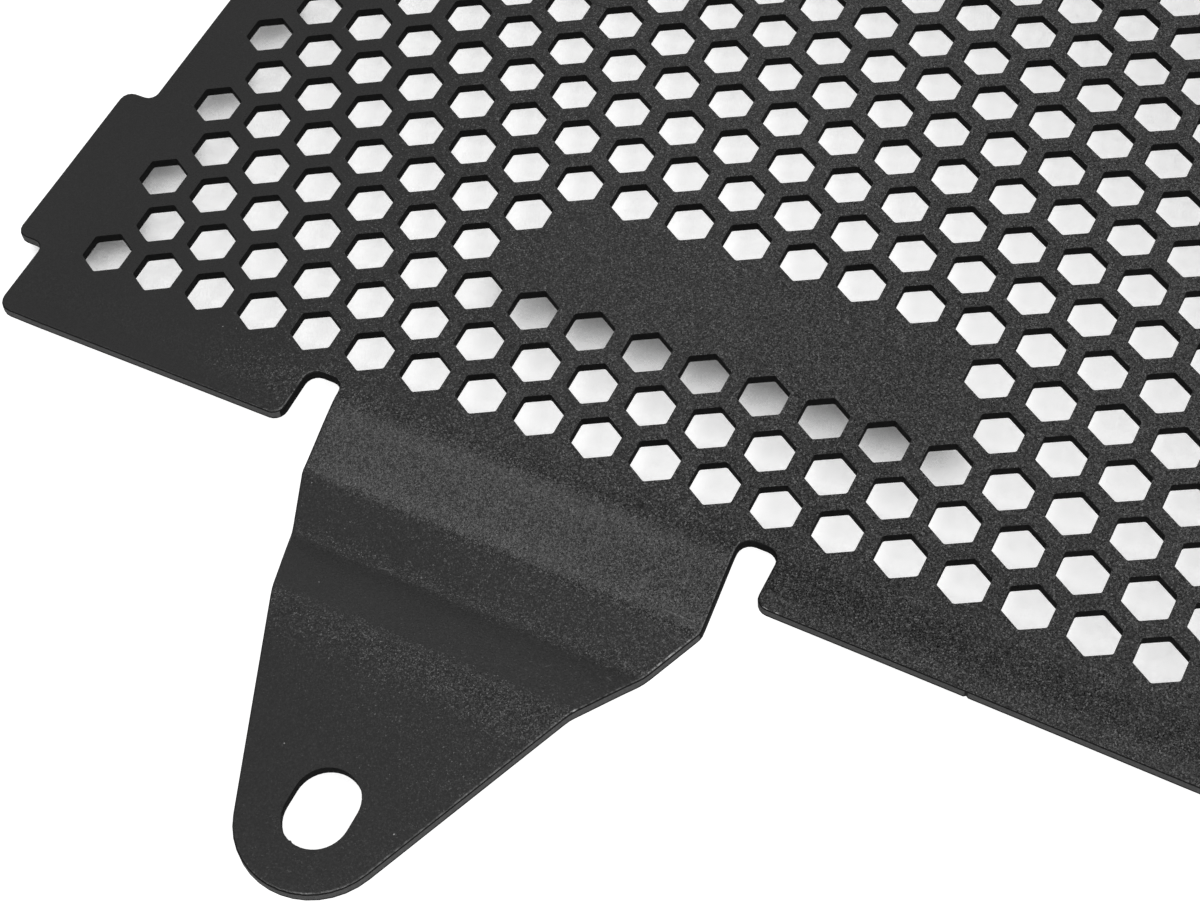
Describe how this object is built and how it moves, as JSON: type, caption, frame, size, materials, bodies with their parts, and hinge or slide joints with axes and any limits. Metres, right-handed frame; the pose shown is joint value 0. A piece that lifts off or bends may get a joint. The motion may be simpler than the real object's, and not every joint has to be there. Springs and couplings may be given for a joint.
{
  "type": "motorcycle radiator guard",
  "caption": "Flat black sheet guard with a hexagonal hole mesh, a plain patch, side ears, an offset bottom tab with a pressed trough, and slotted top lugs.",
  "frame": {"origin": "middle of the guard across and up the sheet, at the level of its lowest back faces: the floor of the trough and the lugs", "axes": "+X across the sheet to the right seen from the front, +Y up the sheet towards the lugs, +Z out of its front face"},
  "size_m": [0.21, 0.2616, 0.0073],
  "materials": {
    "black_coat": "fine-textured satin black powder coat on aluminium sheet"
  },
  "bodies": {
    "root": {"radiator_guard": "black_coat"}
  },
  "joints": []
}
